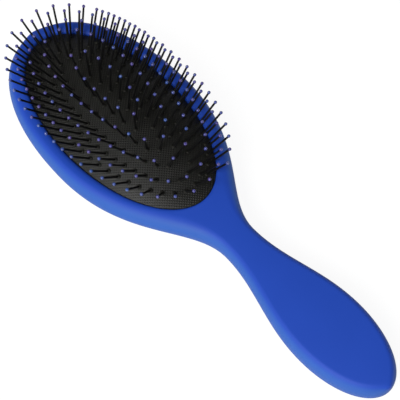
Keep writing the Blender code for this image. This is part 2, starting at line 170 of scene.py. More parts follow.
class BodySizes(bpy.types.PropertyGroup):
    """Sizes and colours of the one-piece body."""

    length: FloatProperty(
        name="Length", description="From the grip's end to the tip", default=0.2230, unit="LENGTH"
    )
    head_width: FloatProperty(
        name="Head width", description="Widest place of the head", default=0.0710, unit="LENGTH"
    )
    head_widest_at: FloatProperty(
        name="Head place", description="From the grip's end to the head's widest place",
        default=0.1593, unit="LENGTH",
    )
    neck_width: FloatProperty(
        name="Neck width", description="Narrowest place", default=0.0161, unit="LENGTH"
    )
    neck_at: FloatProperty(
        name="Neck place", description="From the grip's end to the narrowest place",
        default=0.0838, unit="LENGTH",
    )
    grip_width: FloatProperty(
        name="Grip width", description="Widest place of the grip", default=0.0325, unit="LENGTH"
    )
    grip_widest_at: FloatProperty(
        name="Grip place", description="From the grip's end to its widest place",
        default=0.0325, unit="LENGTH",
    )
    waist_height: FloatProperty(
        name="Waist height", description="Height of the widest line, all the way round",
        default=0.0131, unit="LENGTH",
    )
    head_top: FloatProperty(
        name="Head top", description="Height of the head's front", default=0.0188, unit="LENGTH"
    )
    neck_top: FloatProperty(
        name="Neck top", description="Height of the neck's front", default=0.0171, unit="LENGTH"
    )
    grip_top: FloatProperty(
        name="Grip top", description="Height of the grip's front", default=0.0181, unit="LENGTH"
    )
    front_crown: FloatProperty(
        name="Front crown", description="Rise of the front face's middle", default=0.0005, unit="LENGTH"
    )
    grip_shoulder: FloatProperty(
        name="Grip shoulder", description="Width of the rounded shoulder, square to the outline",
        default=0.0034, unit="LENGTH",
    )
    flare_shoulder: FloatProperty(
        name="Flare shoulder", description="The shoulder where the neck widens into the head",
        default=0.0058, unit="LENGTH",
    )
    head_shoulder: FloatProperty(
        name="Head shoulder", description="The shoulder round the head", default=0.0040, unit="LENGTH"
    )
    flare_at: FloatProperty(
        name="Flare place", description="From the grip's end to the widest shoulder",
        default=0.107, unit="LENGTH",
    )
    neck_underside: FloatProperty(
        name="Neck underside", description="Height of the neck's back over the floor",
        default=0.0042, unit="LENGTH",
    )
    rest_flat: FloatProperty(
        name="Rest flat", description="How much of the round back is cut flat where it rests",
        default=0.0004, unit="LENGTH",
    )
    lip_roll: FloatProperty(
        name="Lip roll", description="Width of the rolled lip round the cushion",
        default=0.0034, unit="LENGTH",
    )
    neck_roll: FloatProperty(
        name="Lip roll at the neck", description="Width of the lip next to the neck",
        default=0.0014, unit="LENGTH",
    )
    lip_thickness: FloatProperty(
        name="Lip thickness", description="Wall over the groove", default=0.0018, unit="LENGTH"
    )
    groove_depth: FloatProperty(
        name="Groove depth", description="Groove that holds the bead", default=0.0018, unit="LENGTH"
    )
    groove_height: FloatProperty(
        name="Groove height", description="Groove that holds the bead", default=0.0024, unit="LENGTH"
    )
    ledge: FloatProperty(name="Ledge", description="Shelf under the bead", default=0.0012, unit="LENGTH")
    back_wall: FloatProperty(
        name="Back wall", description="Wall behind the air chamber", default=0.0042, unit="LENGTH"
    )
    chamber_corner: FloatProperty(
        name="Chamber corner", description="Run from the chamber's wall to its floor",
        default=0.011, unit="LENGTH",
    )
    colour: FloatVectorProperty(
        name="Colour", description="Soft-touch coat of the body",
        subtype="COLOR", size=4, default=(0.0105, 0.060, 0.440, 1.0),
    )
    # Painted light: this paler coat over the shoulder stands in for light falling there
    painted_light_colour: FloatVectorProperty(
        name="Edge colour", description="The coat where it turns over the shoulder",
        subtype="COLOR", size=4, default=(0.026, 0.103, 0.420, 1.0),
    )


class CushionSizes(bpy.types.PropertyGroup):
    """Sizes and colours of the domed membrane and its bead."""

    length: FloatProperty(
        name="Length", description="Length of the visible cushion", default=0.110, unit="LENGTH"
    )
    width: FloatProperty(
        name="Width", description="Width of the visible cushion", default=0.056, unit="LENGTH"
    )
    from_tip: FloatProperty(
        name="From the tip", description="From the tip of the head to the cushion",
        default=0.0066, unit="LENGTH",
    )
    edge_height: FloatProperty(
        name="Edge height", description="Height of the cushion's edge", default=0.0172, unit="LENGTH"
    )
    crown: FloatProperty(
        name="Crown", description="Rise of the dome over its edge", default=0.0078, unit="LENGTH"
    )
    membrane: FloatProperty(
        name="Membrane", description="Thickness of the rubber", default=0.0022, unit="LENGTH"
    )
    gap: FloatProperty(
        name="Gap", description="Between the membrane and the body", default=0.0003, unit="LENGTH"
    )
    dot_pitch: FloatProperty(
        name="Dot pitch", description="Spacing of the fine raised dots", default=0.0010, unit="LENGTH"
    )
    dot_height: FloatProperty(
        name="Dot height", description="Rise of the fine dots", default=0.00012, unit="LENGTH"
    )
    colour: FloatVectorProperty(
        name="Colour", description="Rubber between the dots",
        subtype="COLOR", size=4, default=(0.0028, 0.0028, 0.0019, 1.0),
    )
    # The dots' tops are drawn in this lighter colour
    dot_colour: FloatVectorProperty(
        name="Dot colour", description="Rubbed tops of the dots",
        subtype="COLOR", size=4, default=(0.0090, 0.0090, 0.0048, 1.0),
    )


class PinSizes(bpy.types.PropertyGroup):
    """Sizes and colours of the pins and their ball tips."""

    length: FloatProperty(
        name="Length", description="From the cushion to the top of the ball", default=0.0152, unit="LENGTH"
    )
    foot_diameter: FloatProperty(
        name="Foot diameter", description="Pin where it leaves the cushion", default=0.00100, unit="LENGTH"
    )
    tip_diameter: FloatProperty(
        name="Tip diameter", description="Pin where it meets its ball", default=0.00092, unit="LENGTH"
    )
    ball_diameter: FloatProperty(
        name="Ball diameter", description="Ball on the end of a pin", default=0.0015, unit="LENGTH"
    )
    boss_diameter: FloatProperty(
        name="Boss diameter", description="Raised rubber round a pin's foot", default=0.0022, unit="LENGTH"
    )
    boss_height: FloatProperty(
        name="Boss height", description="Raised rubber over the cushion", default=0.00055, unit="LENGTH"
    )
    root: FloatProperty(
        name="Root", description="How deep a pin stands in the membrane", default=0.0014, unit="LENGTH"
    )
    sides: IntProperty(name="Sides", description="Sides of a pin's round", default=7, min=5, max=16)
    colour: FloatVectorProperty(
        name="Pin colour", description="Nylon of the pins",
        subtype="COLOR", size=4, default=(0.003, 0.003, 0.003, 1.0),
    )
    violet: FloatVectorProperty(
        name="Violet", description="Ball colour at one end of the mix",
        subtype="COLOR", size=4, default=(0.067, 0.050, 0.222, 1.0),
    )
    blue: FloatVectorProperty(
        name="Blue", description="Ball colour at the other end of the mix",
        subtype="COLOR", size=4, default=(0.032, 0.078, 0.275, 1.0),
    )


class StageSettings(bpy.types.PropertyGroup):
    """Light and floor."""

    key_power: FloatProperty(
        name="Key power", description="Power of the large soft light", default=16.5, unit="POWER"
    )
    key_width: FloatProperty(
        name="Key width", description="Size of the large soft light", default=0.70, unit="LENGTH"
    )
    key_distance: FloatProperty(
        name="Key distance", description="From the brush to the light", default=1.25, unit="LENGTH"
    )
    key_azimuth: FloatProperty(
        name="Key azimuth", description="Direction of the light, from +X",
        default=math.radians(105), subtype="ANGLE",
    )
    key_elevation: FloatProperty(
        name="Key elevation", description="Height of the light over the floor",
        default=math.radians(48), subtype="ANGLE",
    )
    horizon: FloatProperty(
        name="Horizon", description="Strength of the surroundings as light, near the floor", default=0.5
    )
    ceiling: FloatProperty(
        name="Ceiling", description="Strength of the surroundings as light, overhead", default=0.25
    )
    mirrored_ceiling: FloatProperty(
        name="Mirrored ceiling",
        description="Strength of the surroundings overhead, as glossy surfaces show it",
        default=0.04,
    )
    shadow: FloatProperty(
        name="Shadow", description="Share of the floor's look that takes the shadow", default=0.12
    )
    floor_size: FloatProperty(
        name="Floor size", description="Side of the square floor", default=6.0, unit="LENGTH"
    )


def ease(x, start, end):
    """0 before start, 1 after end, and between them t * t * (3 - 2 t)."""
    t = np.clip((x - start) / (end - start), 0, 1)
    return t * t * (3 - 2 * t)


def bezier(points, t):
    """A cubic through four control points, at the shares t along it."""
    first, second, third, last = points
    return (1 - t) ** 3 * first + 3 * t * (1 - t) ** 2 * second + 3 * t**2 * (1 - t) * third + t**3 * last


class Plan:
    """Where the parts of the brush lie along X, worked out from the sizes."""

    def __init__(self, scene):
        self.body = scene.brush_body
        self.cushion = scene.brush_cushion
        self.grip_end = -self.body.length / 2
        self.tip = self.body.length / 2
        self.head = self.grip_end + self.body.head_widest_at
        self.neck = self.grip_end + self.body.neck_at
        self.grip = self.grip_end + self.body.grip_widest_at
        self.flare = self.grip_end + self.body.flare_at
        self.pad = self.tip - self.cushion.from_tip - self.cushion.length / 2
        self.outline = self.half_outline()
        self.slopes = np.gradient(self.outline[1], self.outline[0])

    def half_outline(self):
        """Half width against x: a quarter ellipse at the grip's end, a quarter superellipse at the tip,
        and between them two cubic curves that are level at the grip, at the neck and at the head."""
        t = np.linspace(0, 1, OUTLINE_STEPS)
        turn = t * math.pi / 2
        body = self.body
        grip, neck, head = body.grip_width / 2, body.neck_width / 2, body.head_width / 2
        grip_end = (self.grip - (self.grip - self.grip_end) * np.cos(turn), grip * np.sin(turn))
        power = 2 / TIP_OUTLINE_POWER
        tip_x = self.head + (self.tip - self.head) * np.sin(turn) ** power
        tip = np.stack([tip_x, head * np.abs(np.cos(turn)) ** power])
        wide, narrow = GRIP_FLOW_SHARES
        grip_side = self.level_curve((self.grip, grip, wide), (self.neck, neck, narrow), t)
        wide, narrow = HEAD_FLOW_SHARES
        head_side = self.level_curve((self.neck, neck, narrow), (self.head, head, wide), t)
        return np.concatenate([grip_end, grip_side[:, 1:], head_side[:, 1:], tip[:, 1:]], axis=1)

    @staticmethod
    def level_curve(start, end, t):
        """A cubic that is level at both ends. Each end is its x, its half width and the share of the
        run for which the curve keeps level there."""
        (start_x, start_width, start_share), (end_x, end_width, end_share) = start, end
        run = end_x - start_x
        x = bezier((start_x, start_x + run * start_share, end_x - run * end_share, end_x), t)
        return np.stack([x, bezier((start_width, start_width, end_width, end_width), t)])

    def half_width(self, x):
        """Half width of the body at x."""
        return np.interp(x, self.outline[0], self.outline[1])

    def between(self, x, at_grip, at_neck, at_head):
        """A value that changes smoothly from the grip through the neck to the head."""
        low = at_grip + (at_neck - at_grip) * ease(x, self.grip, self.neck)
        return low + (at_head - at_neck) * ease(x, self.neck, self.head)

    def end_round(self, x, grip_power, tip_power):
        """1 over the length, and at each end (1 - t to a power) to the power's inverse, down to 0."""
        to_end = np.clip((self.grip - x) / (self.grip - self.grip_end), 0, 1)
        to_tip = np.clip((x - self.head) / (self.tip - self.head), 0, 1)
        return (1 - to_end**grip_power) ** (1 / grip_power) * (1 - to_tip**tip_power) ** (1 / tip_power)

    def shoulder_width(self, x):
        """Width of the shoulder across the brush: its width square to the outline, over the cosine of
        the outline's angle, and never more than the half width."""
        body = self.body
        grip, flare, head = body.grip_shoulder, body.flare_shoulder, body.head_shoulder
        width = grip + (flare - grip) * ease(x, self.neck, self.flare)
        width = width + (head - flare) * ease(x, self.flare, self.head)
        width = width * np.hypot(1, np.interp(x, self.outline[0], self.slopes))
        half_width = np.maximum(self.half_width(x), WELD)
        return (half_width**-SHOULDER_BLEND + width**-SHOULDER_BLEND) ** (-1 / SHOULDER_BLEND)

    def back_drop(self, x):
        """Depth of the back under the waist, along the middle."""
        waist = self.body.waist_height
        deepest = waist + self.body.rest_flat
        drop = self.between(x, deepest, waist - self.body.neck_underside, deepest)
        return drop * self.end_round(x, GRIP_END_BACK_POWER, TIP_BACK_POWER)

    def shoulder_place(self, x, y):
        """Place across the shoulder: 0 at its inner edge and on the front face, 1 at the waist."""
        width = self.shoulder_width(x)
        return np.clip((np.abs(y) - self.half_width(x) + width) / width, 0, 1)

    def top_height(self, x, y):
        """Height of the body's front at (x, y): the square root of 1 - s * s, where s is the place across
        the shoulder, and a crown that falls with the square of y."""
        body = self.body
        half_width = np.maximum(self.half_width(x), WELD)
        place = self.shoulder_place(x, y)
        top = self.between(x, body.grip_top, body.neck_top, body.head_top) - body.waist_height
        crown = body.front_crown * (1 - np.clip(np.abs(y) / half_width, 0, 1) ** 2)
        rise = top * np.sqrt(1 - place**2) + crown
        return body.waist_height + rise * self.end_round(x, GRIP_END_TOP_POWER, TIP_TOP_POWER)

    def pad_edge(self, theta, out):
        """The cushion's ellipse at the angles theta, moved outwards along its normal by out."""
        half_length, half_width = self.cushion.length / 2, self.cushion.width / 2
        normal = np.stack([np.cos(theta) / half_length, np.sin(theta) / half_width])
        normal = normal / np.linalg.norm(normal, axis=0)
        x = self.pad + half_length * np.cos(theta) + out * normal[0]
        return x, half_width * np.sin(theta) + out * normal[1]

    def pad_shares(self, x, y):
        """The place (x, y) on the cushion, as shares of its half length and its half width."""
        return (x - self.pad) / (self.cushion.length / 2), y / (self.cushion.width / 2)

    def dome(self, x, y):
        """Height of the cushion: its edge plus the crown times 1 - u * u - v * v, where u and v are the
        shares of its half length and half width."""
        along, across = self.pad_shares(x, y)
        return self.cushion.edge_height + self.cushion.crown * np.maximum(1 - along**2 - across**2, 0)


def superellipse(turn, power):
    """A point of the unit superellipse in the direction turn: the direction over its own power norm."""
    size = (np.abs(np.cos(turn)) ** power + np.abs(np.sin(turn)) ** power) ** (1 / power)
    return np.cos(turn) / size, np.sin(turn) / size


def grid_faces(rows, columns, wrap=False):
    """Quads between neighbouring points of a grid whose points are numbered row by row."""
    column = np.arange(columns if wrap else columns - 1)
    after = (column + 1) % columns
    start = np.arange(rows - 1)[:, None] * columns
    above = start + columns
    quads = np.stack([start + column, start + after, above + after, above + column], -1)
    return quads.reshape(-1, 4)


def make_piece(name, points, faces, finish, sharp=40.0, values=None):
    """A closed piece from arrays of points and quads: doubles merged, normals outwards, smooth up to
    the angle sharp, in degrees. The values, one for each point, go to its material."""
    data = bpy.data.meshes.new(name)
    data.from_pydata(points.reshape(-1, 3).tolist(), [], faces.tolist())
    if values is not None:
        carried = data.attributes.new(POINT_VALUE, "FLOAT", "POINT")
        carried.data.foreach_set("value", values.astype(np.float32))
    shell = bmesh.new()
    shell.from_mesh(data)
    bmesh.ops.remove_doubles(shell, verts=shell.verts, dist=WELD)
    bmesh.ops.dissolve_degenerate(shell, edges=shell.edges, dist=WELD / 10)
    bmesh.ops.recalc_face_normals(shell, faces=shell.faces)
    if any(edge.is_boundary for edge in shell.edges):
        raise RuntimeError(f"{name} is not closed")
    shell.to_mesh(data)
    shell.free()
    data.shade_smooth()
    data.set_sharp_from_angle(angle=math.radians(sharp))
    data.materials.append(finish)
    piece = bpy.data.objects.new(name, data)
    bpy.context.scene.collection.objects.link(piece)
    return piece


def opening_roll(plan, theta):
    """Width of the lip round the opening: narrower next to the neck, by a smooth step of the angle."""
    body = plan.body
    at_neck = ease(-np.cos(theta), NECK_LIP_FROM, 1.0)
    return body.lip_roll + (body.neck_roll - body.lip_roll) * at_neck


def outer_half(plan, theta):
    """Half of the body's outside, as a grid of stations along x and directions round the section.
    Each section runs from the middle of the back, over the waist, to the lip or to the middle of the
    front. The share of painted light comes with it: a paler coat that stands in for light falling on
    the shoulder, which grows over the shoulder and fades under the waist."""
    crest_x, crest_y = plan.pad_edge(theta, opening_roll(plan, theta))
    turn = np.linspace(0, 1, GRIP_STEPS)[:-1]
    before = plan.grip_end + (crest_x[0] - plan.grip_end) * (1 - np.cos(turn * math.pi / 2))
    shift = (1 - np.linspace(0, 1, TIP_STEPS)[1:]) ** 2
    after = plan.tip - (plan.tip - crest_x[-1]) * shift
    x = np.concatenate([before, crest_x, after])[:, None]
    stop = np.concatenate([np.zeros_like(before), crest_y, np.zeros_like(after)])[:, None]
    width = plan.half_width(x)
    across, down = superellipse(np.linspace(-math.pi / 2, 0, BACK_STEPS), BACK_POWER)
    back_y = width * across
    back_z = plan.body.waist_height + plan.back_drop(x) * down
    top_y = width - (width - stop) * (1 - np.cos(np.linspace(0, math.pi / 2, TOP_STEPS)[1:]))
    top_z = plan.top_height(x, top_y)
    # Share of painted light: full at the waist, fading under it and growing over the shoulder
    under = 1 - ease(plan.body.waist_height - back_z, 0, plan.body.waist_height)
    over = ease(plan.shoulder_place(x, top_y), PAINTED_LIGHT_FROM, PAINTED_LIGHT_FULL)
    pale = np.concatenate([under, over], axis=1)
    y = np.concatenate([back_y, top_y], axis=1)
    z = np.maximum(np.concatenate([back_z, top_z], axis=1), 0)
    y[:, 0] = 0
    y[stop[:, 0] < WELD, -1] = 0
    return np.stack([np.broadcast_to(x, y.shape), y, z], -1), pale


def inner_half(plan, theta):
    """Half of the opening, as rings from the crest of the lip to the middle of the chamber's floor.
    The lip is a cubic that leaves the front along its slope and meets the cushion's edge upright."""
    body, edge = plan.body, plan.cushion.edge_height
    roll = opening_roll(plan, theta)
    crest = plan.top_height(*plan.pad_edge(theta, roll))
    step = roll / LIP_SLOPE_PARTS
    slope = (plan.top_height(*plan.pad_edge(theta, roll - step)) - crest) / step
    t = np.linspace(0, 1, LIP_STEPS)[:, None]
    run, fall = roll * LIP_FLOW_SHARE, (crest - edge) * LIP_FLOW_SHARE
    out = bezier((roll, roll - run, 0 * roll, 0 * roll), t)
    height = bezier((crest, crest + run * slope, edge + fall, edge + 0 * roll), t)
    lip = np.stack([*plan.pad_edge(theta, out), height], -1)
    under_lip = edge - body.lip_thickness
    groove_floor = under_lip - body.groove_height
    turn = np.linspace(math.pi / 2, 0, CHAMBER_STEPS)
    corner_out = -body.ledge - body.chamber_corner * (1 - np.sin(turn))
    corner_height = body.back_wall + (groove_floor - body.back_wall) * (1 - np.cos(turn))
    outs = np.concatenate([[0, body.groove_depth, body.groove_depth], corner_out])
    heights = np.concatenate([[under_lip, under_lip, groove_floor], corner_height])
    wall_x, wall_y = plan.pad_edge(theta, outs[:, None])
    wall = np.stack([wall_x, wall_y, np.broadcast_to(heights[:, None], wall_x.shape)], -1)
    floor = wall[-1]
    middle = np.array([plan.pad, 0, body.back_wall])
    shrink = np.array([0.5, 0.0])[:, None, None]  # one ring half way in, and one on the middle
    rings = np.concatenate([lip, wall, middle + (floor - middle) * shrink])
    rings[:, [0, -1], 1] = 0
    return rings


def paddle_surface(plan):
    """The closed body: one half outside and inside, and its mirror image across the middle."""
    theta = np.linspace(math.pi, 0, OPENING_STEPS)
    outside, pale = outer_half(plan, theta)
    inside = inner_half(plan, theta)
    half = np.concatenate([outside.reshape(-1, 3), inside.reshape(-1, 3)])
    inside_faces = pale.size + grid_faces(*inside.shape[:2])
    faces = np.concatenate([grid_faces(*outside.shape[:2]), inside_faces])
    points = np.concatenate([half, half * (1, -1, 1)])
    faces = np.concatenate([faces, faces[:, ::-1] + len(half)])
    # No painted light on the inside
    pale = np.concatenate([pale.ravel(), np.zeros(len(half) - pale.size)])
    return points, faces, np.tile(pale, 2)


def cushion_surface(plan):
    """The domed membrane: rings of the ellipse from its edge to the middle on top, and back to the
    edge underneath, a membrane's thickness lower but never under the plane of the edge. The two
    middles aren't joined."""
    cushion = plan.cushion
    theta = np.linspace(0, 2 * math.pi, CUSHION_ROUND, endpoint=False)
    edge_x, edge_y = plan.pad_edge(theta, -cushion.gap)
    rise = np.sin(np.linspace(0, math.pi / 2, CUSHION_RINGS))
    share = np.concatenate([1 - rise, rise[1:]])[:, None]
    x = plan.pad + (edge_x - plan.pad) * share
    y = edge_y * share
    height = cushion.edge_height + cushion.crown * (1 - share**2)
    under = np.arange(len(share))[:, None] >= CUSHION_RINGS
    lowered = np.maximum(height - cushion.membrane, cushion.edge_height)
    height = np.where(under, lowered, height)
    points = np.stack([x, y, np.broadcast_to(height, x.shape)], -1)
    pole = points[CUSHION_RINGS - 1].copy()
    pole[:, 2] -= cushion.membrane
    points = np.concatenate([points[:CUSHION_RINGS], pole[None], points[CUSHION_RINGS:]])
    faces = grid_faces(points.shape[0], CUSHION_ROUND, wrap=True)
    between_poles = slice((CUSHION_RINGS - 1) * CUSHION_ROUND, CUSHION_RINGS * CUSHION_ROUND)
    return points, np.delete(faces, between_poles, axis=0)


def bead_surface(plan):
    """The fixed margin of the membrane under its edge: a wall with a half-round bead that stands in the
    body's groove, as one closed profile carried round the ellipse."""
    body, cushion = plan.body, plan.cushion
    edge = cushion.edge_height
    theta = np.linspace(0, 2 * math.pi, CUSHION_ROUND, endpoint=False)
    bead_top = edge - body.lip_thickness - cushion.gap
    half_height = body.groove_height / 2 - cushion.gap
    turn = np.linspace(math.pi / 2, -math.pi / 2, BEAD_STEPS)
    lobe_out = -cushion.gap + body.groove_depth * np.cos(turn)
    lobe_height = bead_top - half_height + half_height * np.sin(turn)
    inner = -cushion.gap - cushion.membrane
    outs = np.concatenate([[inner, -cushion.gap], lobe_out, [inner]])
    heights = np.concatenate([[edge, edge], lobe_height, lobe_height[-1:]])
    x, y = plan.pad_edge(theta, outs[:, None])
    points = np.stack([x, y, np.broadcast_to(heights[:, None], x.shape)], -1)
    points = np.concatenate([points, points[:1]])
    return points, grid_faces(points.shape[0], CUSHION_ROUND, wrap=True)


def ring_feet(plan, ring):
    """Feet of a ring's pins: places an equal distance apart along an oval whose width grows towards
    the tip by the share egg."""
    _, length_share, width_share, shift, egg, phase, count = ring
    half_length, half_width = plan.cushion.length / 2, plan.cushion.width / 2

    def line(theta):
        """The oval at the angles theta, as x and y."""
        x = plan.pad + (shift + length_share * np.cos(theta)) * half_length
        return x, width_share * half_width * np.sin(theta) * (1 + egg * np.cos(theta))

    fine = np.linspace(0, 2 * math.pi, OVAL_STEPS)
    x, y = line(fine)
    run = np.concatenate([[0], np.cumsum(np.hypot(np.diff(x), np.diff(y)))])
    x, y = line(np.interp((np.arange(count) + phase) / count * run[-1], run, fine))
    return np.stack([x, y, plan.dome(x, y)], -1)


def pin_axes(plan, feet):
    """Two side directions and the direction of each pin. The pins fan outwards: their slope is a sum
    of first and third powers of the place on the cushion."""
    along, across = plan.pad_shares(feet[:, 0], feet[:, 1])
    first, third = LEAN_LENGTHWAYS_SHARES
    lengthways = along * (first + third * along**2 + LEAN_CORNER_SHARE * across**2)
    first, third = LEAN_SIDEWAYS_SHARES
    sideways = across * (first + third * across**2)
    return upright_axes(np.stack([lengthways, sideways, np.ones_like(along)], -1))


def dome_axes(plan, feet):
    """Two side directions and the direction square to the cushion at each foot. The dome's slopes are
    -2 times the crown times the place, over the square of its half length and of its half width."""
    half_length, half_width = plan.cushion.length / 2, plan.cushion.width / 2
    along = 2 * plan.cushion.crown * (feet[:, 0] - plan.pad) / half_length**2
    across = 2 * plan.cushion.crown * feet[:, 1] / half_width**2
    return upright_axes(np.stack([along, across, np.ones_like(along)], -1))


def upright_axes(direction):
    """The directions at length 1, after two side directions that are square to them."""
    direction = direction / np.linalg.norm(direction, axis=1, keepdims=True)
    side = np.cross(direction, (0, 1, 0))
    side /= np.linalg.norm(side, axis=1, keepdims=True)
    return side, np.cross(direction, side), direction


def turned_copies(feet, axes, profile, sides):
    """The same profile of (radius, height) rows turned round each pin's direction at each foot."""
    side, other, direction = axes
    turn = np.linspace(0, 2 * math.pi, sides, endpoint=False)
    radius, height = profile[:, 0], profile[:, 1]
    across = np.cos(turn)[:, None, None] * side + np.sin(turn)[:, None, None] * other
    points = (
        feet[:, None, None]
        + height[None, :, None, None] * direction[:, None, None]
        + radius[None, :, None, None] * across.transpose(1, 0, 2)[:, None]
    )
    count = len(profile) * sides
    faces = grid_faces(len(profile), sides, wrap=True)
    faces = (faces[None] + (np.arange(len(feet)) * count)[:, None, None]).reshape(-1, 4)
    return points.reshape(-1, 3), faces


def shaft_profile(pins):
    """A pin from its root: a shaft that tapers evenly into its ball."""
    foot, tip = pins.foot_diameter / 2, pins.tip_diameter / 2
    top = pins.length - pins.ball_diameter / 2
    return np.array([(0, -pins.root), (foot, -pins.root), (foot, 0), (tip, top), (0, top)])


def boss_profile(pins):
    """The raised rubber round a pin's foot: a wall in the membrane, then a rounded edge whose height is
    the square root of 1 - s * s over its outer part, and a flat top."""
    radius, height = pins.boss_diameter / 2, pins.boss_height
    turn = np.linspace(0, math.pi / 2, BOSS_STEPS)
    reach = radius * (BOSS_FLAT_SHARE + (1 - BOSS_FLAT_SHARE) * np.cos(turn))
    rounded = np.stack([reach, height * np.sin(turn)], -1)
    return np.concatenate([[(0, -height / 2), (radius, -height / 2)], rounded, [(0, height)]])


def ball_profile(pins):
    """A ball: half a circle from its lowest to its highest point."""
    turn = np.linspace(-math.pi / 2, math.pi / 2, BALL_STEPS)
    radius = pins.ball_diameter / 2
    profile = np.stack([radius * np.cos(turn), pins.length - radius + radius * np.sin(turn)], -1)
    profile[[0, -1], 0] = 0
    return profile


def ball_tints(plan, feet, ring_number):
    """How blue each ball is, from 0 to 1: bluer towards the neck, the middle and the -Y side, and along
    the +Y side of the outermost ring, with a seeded spread."""
    scatter = np.random.default_rng(BALL_SEED + ring_number).normal(0, TINT_SPREAD, len(feet))
    along, across = plan.pad_shares(feet[:, 0], feet[:, 1])
    tint = TINT_START + TINT_PER_RING * ring_number - TINT_TO_TIP * along - TINT_ACROSS * across
    if ring_number == 0:
        tint = tint + TINT_OUTER_SIDE * ease(across, TINT_OUTER_FROM, TINT_OUTER_FULL)
    return np.clip(tint + scatter, 0, 1)


def add_node(tree, kind, **values):
    """A shader node with values on its sockets. A socket's name has _ for a space."""
    node = tree.nodes.new(kind)
    for socket, value in values.items():
        node.inputs[socket.replace("_", " ")].default_value = value
    return node


def start_material(name):
    """A new material with its tree and its surface shader."""
    made = bpy.data.materials.new(name)
    made.use_nodes = True
    return made, made.node_tree, made.node_tree.nodes["Principled BSDF"]


def start_finish(name):
    """A new material of the brush with its tree, its surface shader, its object coordinates and the
    noise that clouds its gloss."""
    made, tree, shader = start_material(name)
    lowest, highest, specular, cloud_size = FINISHES[name]
    place = tree.nodes.new("ShaderNodeTexCoord").outputs["Object"]
    cloud = noise(tree, place, cloud_size)
    tree.links.new(spread(tree, cloud, lowest, highest), shader.inputs["Roughness"])
    shader.inputs["Specular IOR Level"].default_value = specular
    return made, tree, shader, place, cloud


def noise(tree, place, size, detail=2.0):
    """Noise whose features are about size metres across."""
    node = add_node(tree, "ShaderNodeTexNoise", Scale=1 / size, Detail=detail)
    tree.links.new(place, node.inputs["Vector"])
    return node.outputs["Fac"]


def spread(tree, value, low, high):
    """The value from 0 to 1, mapped to low to high."""
    node = add_node(tree, "ShaderNodeMapRange", To_Min=low, To_Max=high)
    tree.links.new(value, node.inputs["Value"])
    return node.outputs["Result"]


def falling(tree, value, start, end):
    """1 up to the value start, 0 from the value end, and a smooth step down between them."""
    node = add_node(
        tree, "ShaderNodeMapRange", From_Min=start, From_Max=end, To_Min=1.0, To_Max=0.0
    )
    node.interpolation_type = "SMOOTHSTEP"
    tree.links.new(value, node.inputs["Value"])
    return node.outputs["Result"]


def mixed(tree, share, first, second, kind="RGBA"):
    """A colour or a number between two, by a share. Each is given as it is or as an output."""
    node = tree.nodes.new("ShaderNodeMix")
    node.data_type = kind
    for socket, value in (("A", first), ("B", second)):
        if isinstance(value, bpy.types.NodeSocket):
            tree.links.new(value, node.inputs[socket])
        else:
            node.inputs[socket].default_value = value
    tree.links.new(share, node.inputs["Factor"])
    return node.outputs["Result"]


def point_value(tree):
    """The share that each point of the piece carries."""
    node = tree.nodes.new("ShaderNodeAttribute")
    node.attribute_name = POINT_VALUE
    return node.outputs["Fac"]


def bumped(tree, height, distance, strength=1.0):
    """Normals of a surface that rises by a height from 0 to 1, times distance in metres."""
    node = add_node(tree, "ShaderNodeBump", Strength=strength, Distance=distance)
    tree.links.new(height, node.inputs["Height"])
    return node.outputs["Normal"]


def tinted(colour, share):
    """A colour made darker or lighter by a share."""
    return tuple(min(value * share, 1.0) for value in colour[:3]) + (1.0,)


def clouded(tree, cloud, colour, tints):
    """A colour between its darker and its lighter tint, by a cloud."""
    return mixed(tree, cloud, *(tinted(colour, share) for share in tints))


def soft_touch_blue(colour, painted_light_colour):
    """Matte soft-touch coat with a fine grain, and slight cloudiness in its colour and gloss. Painted
    light: it is paler where it turns over the shoulder, standing in for light falling there."""
    made, tree, shader, place, cloud = start_finish("soft_touch_blue")
    face, edge = (clouded(tree, cloud, coat, COAT_TINTS) for coat in (colour, painted_light_colour))
    # The painted light on the shoulder, mixed in by each point's share
    tree.links.new(mixed(tree, point_value(tree), face, edge), shader.inputs["Base Color"])
    grain = noise(tree, place, COAT_GRAIN, detail=3.0)
    normal = bumped(tree, grain, COAT_GRAIN_HEIGHT, COAT_GRAIN_STRENGTH)
    tree.links.new(normal, shader.inputs["Normal"])
    return made


def dotted_rubber(cushion):
    """Black rubber with fine raised dots on a square grid that is turned 45 degrees, drawn lighter on
    their tops."""
    made, tree, shader, place, _ = start_finish("dotted_rubber")
    turned = add_node(tree, "ShaderNodeMapping", Rotation=(0, 0, math.radians(45)))
    tree.links.new(place, turned.inputs["Vector"])
    grid = add_node(tree, "ShaderNodeTexVoronoi", Scale=1 / cushion.dot_pitch, Randomness=0.0)
    grid.voronoi_dimensions = "2D"
    tree.links.new(turned.outputs["Vector"], grid.inputs["Vector"])
    height = falling(tree, grid.outputs["Distance"], DOT_TOP, DOT_FOOT)
    colour = mixed(tree, height, cushion.colour, cushion.dot_colour)
    tree.links.new(colour, shader.inputs["Base Color"])
    tree.links.new(bumped(tree, height, cushion.dot_height), shader.inputs["Normal"])
    return made


def plain_rubber(cushion):
    """The same black rubber without dots, as on the bosses, a little cloudy."""
    made, tree, shader, _, cloud = start_finish("plain_rubber")
    colour = mixed(tree, cloud, cushion.colour, cushion.dot_colour)
    tree.links.new(colour, shader.inputs["Base Color"])
    tree.links.new(bumped(tree, cloud, RUBBER_GRAIN_HEIGHT), shader.inputs["Normal"])
    return made


def black_nylon(colour):
    """Satin black nylon, with a slight change of colour and gloss along each pin."""
    made, tree, shader, _, cloud = start_finish("black_nylon")
    tree.links.new(clouded(tree, cloud, colour, NYLON_TINTS), shader.inputs["Base Color"])
    return made


def ball_lacquer(violet, blue):
    """Glossy lacquer whose colour comes from each ball's own tint, from violet to blue."""
    made, tree, shader, _, _ = start_finish("ball_lacquer")
    tree.links.new(mixed(tree, point_value(tree), violet, blue), shader.inputs["Base Color"])
    shader.inputs["Coat Weight"].default_value = BALL_COAT
    return made


